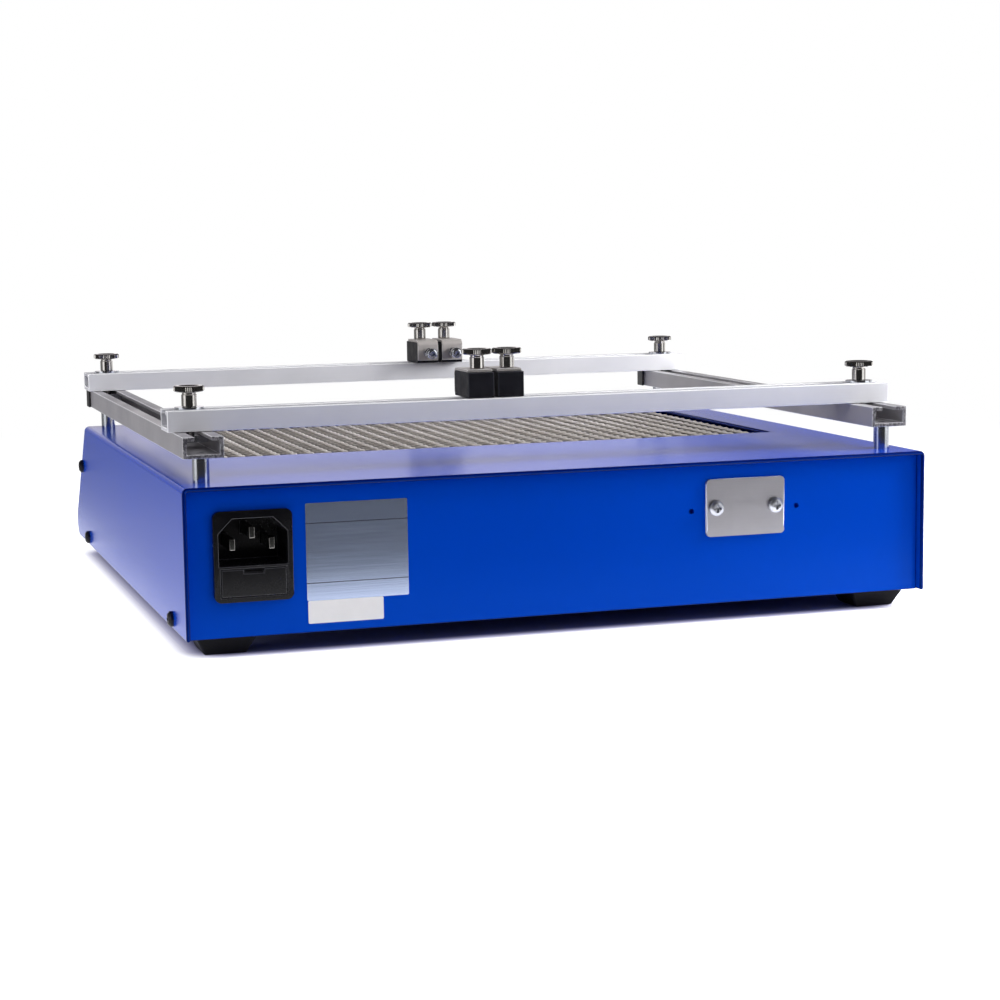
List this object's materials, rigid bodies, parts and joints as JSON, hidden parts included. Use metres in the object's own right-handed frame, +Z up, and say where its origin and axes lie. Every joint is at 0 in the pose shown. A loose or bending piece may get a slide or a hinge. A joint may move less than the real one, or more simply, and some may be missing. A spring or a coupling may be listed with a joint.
{
  "type": "pcb preheater",
  "caption": "Low sheet-metal infrared preheater for circuit boards, with a wire-guarded heater window, a sloped control panel and a sliding bar frame with clamps that hold a board above it.",
  "frame": {"origin": "on the bench, under the middle of the box's outline", "axes": "+Z is up, the sloped control panel faces -Y, the rear panel with the mains inlet faces +Y, and the inlet is on the +X side"},
  "size_m": [0.2876, 0.288, 0.1028],
  "materials": {
    "blue_paint": "gloss",
    "black_rubber": "matte",
    "black_steel": "satin",
    "inlet_plastic": "satin",
    "contact_metal": "satin",
    "fuse_body": "satin",
    "stainless": "satin",
    "jaw_steel": "bright",
    "zinc": "bright",
    "guard_steel": "satin",
    "reflector": "bright",
    "quartz": "clear",
    "heating_wire": "dull",
    "ceramic_white": "matte",
    "insulation": "matte",
    "black_plastic": "satin",
    "circuit_board": "satin",
    "component_plastic": "satin",
    "sink_aluminium": "satin",
    "lead_jacket": "satin",
    "lamp_lens": "gloss",
    "rail_aluminium": "satin",
    "nickel": "bright",
    "clamp_black": "satin"
  },
  "bodies": {
    "housing": {"top_cover": "blue_paint", "base_pan": "blue_paint", "front_panel": "blue_paint", "rubber_feet": "black_rubber", "cover_screws": "black_steel", "inlet_housing": "inlet_plastic", "inlet_contacts": "contact_metal", "blank_plate": "stainless", "guard_frame": "stainless", "tray_legs": "stainless", "blank_plate_screws": "zinc", "holder_posts": "zinc", "post_screws": "zinc", "board_standoffs": "zinc", "potentiometer": "zinc", "guard_wires": "guard_steel", "reflector_tray": "reflector", "heater_tubes": "quartz", "heater_coils": "heating_wire", "heater_end_caps": "ceramic_white", "insulation_board": "insulation", "thermal_cutout": "black_plastic", "switch_housing": "black_plastic", "rail_caps": "black_plastic", "control_board": "circuit_board", "board_parts": "component_plastic", "heat_sink": "sink_aluminium", "wiring_loom": "lead_jacket", "pilot_lamp": "lamp_lens", "right_rail": "rail_aluminium", "left_rail": "rail_aluminium"},
    "rear_bar": {"rear_bar": "rail_aluminium", "rear_bar_hardware": "zinc"},
    "rear_bar_screw_right": {"rear_bar_screw_right": "nickel"},
    "rear_bar_screw_left": {"rear_bar_screw_left": "nickel"},
    "rear_clamp_right": {"rear_clamp_right_block": "clamp_black", "rear_clamp_right_jaw": "jaw_steel", "rear_clamp_right_hardware": "zinc"},
    "rear_clamp_right_screw": {"rear_clamp_right_screw": "nickel"},
    "rear_clamp_left": {"rear_clamp_left_block": "clamp_black", "rear_clamp_left_jaw": "jaw_steel", "rear_clamp_left_hardware": "zinc"},
    "rear_clamp_left_screw": {"rear_clamp_left_screw": "nickel"},
    "front_bar": {"front_bar": "rail_aluminium", "front_bar_hardware": "zinc"},
    "front_bar_screw_right": {"front_bar_screw_right": "nickel"},
    "front_bar_screw_left": {"front_bar_screw_left": "nickel"},
    "front_clamp_right": {"front_clamp_right_block": "clamp_black", "front_clamp_right_jaw": "jaw_steel", "front_clamp_right_hardware": "zinc"},
    "front_clamp_right_screw": {"front_clamp_right_screw": "nickel"},
    "front_clamp_left": {"front_clamp_left_block": "clamp_black", "front_clamp_left_jaw": "jaw_steel", "front_clamp_left_hardware": "zinc"},
    "front_clamp_left_screw": {"front_clamp_left_screw": "nickel"},
    "fuse_drawer": {"fuse_drawer": "inlet_plastic", "fuse": "fuse_body"},
    "switch_rocker": {"switch_rocker": "black_plastic"},
    "control_knob": {"control_knob": "black_plastic", "control_shaft": "zinc"}
  },
  "joints": [
    {"name": "rear_bar_slide", "type": "slide", "parent": "housing", "child": "rear_bar", "axis": [0, 1, 0], "range_m": [-0.074, 0.018]},
    {"name": "rear_bar_screw_right_turn", "type": "hinge", "parent": "rear_bar", "child": "rear_bar_screw_right", "pos_m": [0.1322, 0.108, 0.0855], "axis": [0, 0, 1], "range_deg": [0, 360]},
    {"name": "rear_bar_screw_left_turn", "type": "hinge", "parent": "rear_bar", "child": "rear_bar_screw_left", "pos_m": [-0.1322, 0.108, 0.0855], "axis": [0, 0, 1], "range_deg": [0, 360]},
    {"name": "rear_clamp_right_slide", "type": "slide", "parent": "rear_bar", "child": "rear_clamp_right", "axis": [1, 0, 0], "range_m": [0, 0.0953]},
    {"name": "rear_clamp_right_screw_turn", "type": "hinge", "parent": "rear_clamp_right", "child": "rear_clamp_right_screw", "pos_m": [0.0247, 0.108, 0.0953], "axis": [0, 0, 1], "range_deg": [0, 360]},
    {"name": "rear_clamp_left_slide", "type": "slide", "parent": "rear_bar", "child": "rear_clamp_left", "axis": [1, 0, 0], "range_m": [-0.1327, 0]},
    {"name": "rear_clamp_left_screw_turn", "type": "hinge", "parent": "rear_clamp_left", "child": "rear_clamp_left_screw", "pos_m": [0.0131, 0.108, 0.0953], "axis": [0, 0, 1], "range_deg": [0, 360]},
    {"name": "front_bar_slide", "type": "slide", "parent": "housing", "child": "front_bar", "axis": [0, 1, 0], "range_m": [0, 0.085]},
    {"name": "front_bar_screw_right_turn", "type": "hinge", "parent": "front_bar", "child": "front_bar_screw_right", "pos_m": [0.1322, -0.099, 0.0855], "axis": [0, 0, 1], "range_deg": [0, 360]},
    {"name": "front_bar_screw_left_turn", "type": "hinge", "parent": "front_bar", "child": "front_bar_screw_left", "pos_m": [-0.1322, -0.099, 0.0855], "axis": [0, 0, 1], "range_deg": [0, 360]},
    {"name": "front_clamp_right_slide", "type": "slide", "parent": "front_bar", "child": "front_clamp_right", "axis": [1, 0, 0], "range_m": [0, 0.1325]},
    {"name": "front_clamp_right_screw_turn", "type": "hinge", "parent": "front_clamp_right", "child": "front_clamp_right_screw", "pos_m": [-0.0126, -0.099, 0.0953], "axis": [0, 0, 1], "range_deg": [0, 360]},
    {"name": "front_clamp_left_slide", "type": "slide", "parent": "front_bar", "child": "front_clamp_left", "axis": [1, 0, 0], "range_m": [-0.0955, 0]},
    {"name": "front_clamp_left_screw_turn", "type": "hinge", "parent": "front_clamp_left", "child": "front_clamp_left_screw", "pos_m": [-0.0242, -0.099, 0.0953], "axis": [0, 0, 1], "range_deg": [0, 360]},
    {"name": "fuse_drawer_slide", "type": "slide", "parent": "housing", "child": "fuse_drawer", "axis": [0, 1, 0], "range_m": [0, 0.018]},
    {"name": "switch_rock", "type": "hinge", "parent": "housing", "child": "switch_rocker", "pos_m": [0.108, -0.12256, 0.03911], "axis": [-1, 0, 0], "range_deg": [0, 16]},
    {"name": "control_turn", "type": "hinge", "parent": "housing", "child": "control_knob", "pos_m": [0.056, -0.12256, 0.03911], "axis": [0, -0.7531, 0.6579], "range_deg": [-150, 150]}
  ]
}
